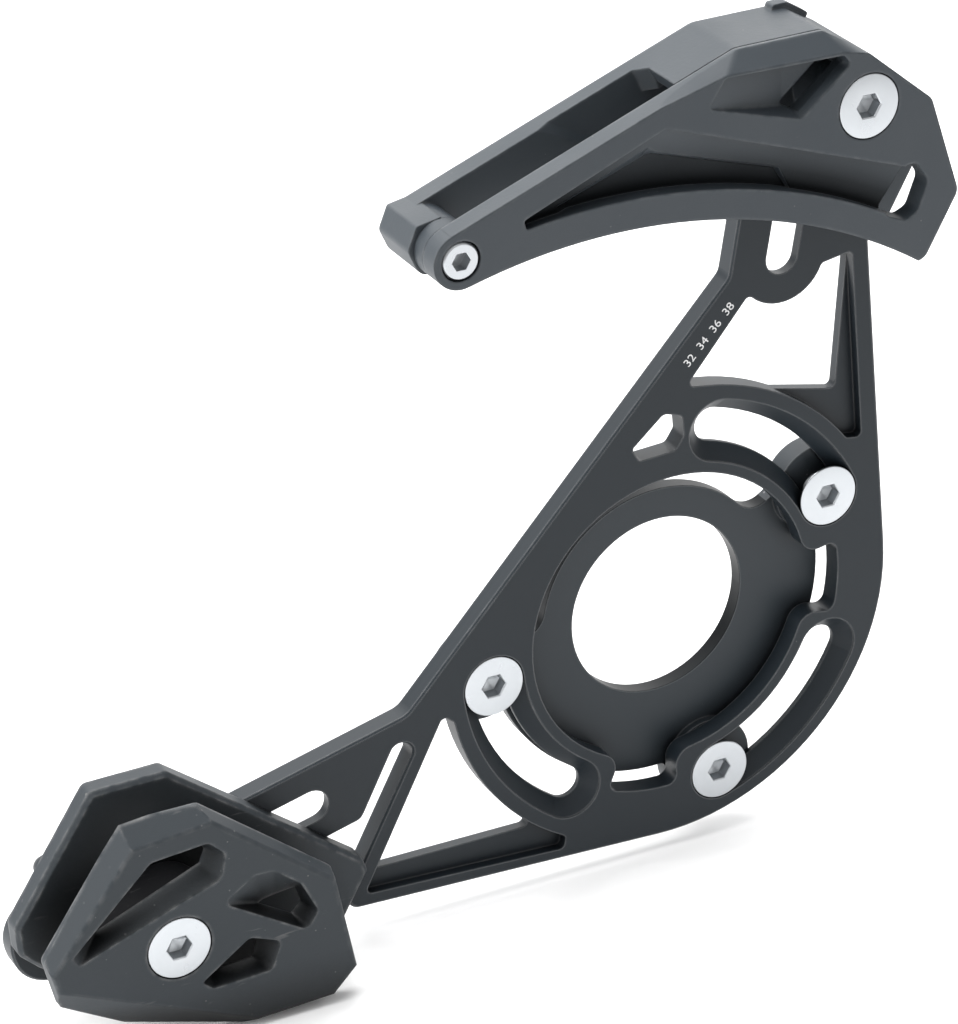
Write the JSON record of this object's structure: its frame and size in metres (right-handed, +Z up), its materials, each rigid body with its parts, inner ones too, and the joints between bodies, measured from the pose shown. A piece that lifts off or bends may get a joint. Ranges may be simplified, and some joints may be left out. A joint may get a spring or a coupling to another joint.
{
  "type": "bicycle chain guide",
  "caption": "Slotted back plate on a bottom bracket adapter, carrying an upper two-half chain channel and a lower two-plate chain channel that slide along its arms.",
  "frame": {"origin": "bottom bracket axis at the adapter's frame-side face", "axes": "+Z up, +X to the front of the bicycle, +Y towards the frame along the bottom bracket axis"},
  "size_m": [0.1752, 0.0265, 0.1631],
  "materials": {
    "anodised_plate": "satin black anodised",
    "anodised_adapter": "satin black anodised",
    "bolt_steel": "bright satin plated",
    "nut_steel": "plain plated",
    "insert_brass": "turned",
    "guide_plastic": "matt moulded",
    "slider_plastic": "smooth moulded"
  },
  "bodies": {
    "adapter": {"bb_adapter": "anodised_adapter", "rear_mount_bolt": "bolt_steel", "lower_mount_bolt": "bolt_steel", "front_mount_bolt": "bolt_steel"},
    "plate": {"backplate": "anodised_plate"},
    "upper_guide": {"upper_inner_half": "guide_plastic", "upper_outer_half": "guide_plastic", "upper_clamp_bolt": "bolt_steel", "upper_slide_nut": "nut_steel", "upper_tip_screw": "bolt_steel", "upper_tip_insert": "insert_brass", "upper_tip_spacer": "guide_plastic"},
    "lower_guide": {"lower_inner_plate": "guide_plastic", "lower_outer_plate": "guide_plastic", "lower_clamp_bolt": "bolt_steel", "lower_slide_nut": "nut_steel", "lower_chain_slider": "slider_plastic"}
  },
  "joints": [
    {"name": "plate_clocking", "type": "hinge", "parent": "adapter", "child": "plate", "pos_m": [0, 0, 0], "axis": [0, 1, 0], "range_deg": [0, 46]},
    {"name": "upper_slide", "type": "slide", "parent": "plate", "child": "upper_guide", "axis": [-0.1472, 0, -0.9891], "range_m": [0, 0.015]},
    {"name": "lower_slide", "type": "slide", "parent": "plate", "child": "lower_guide", "axis": [0.9676, 0, 0.2527], "range_m": [-0.005, 0.015]}
  ]
}
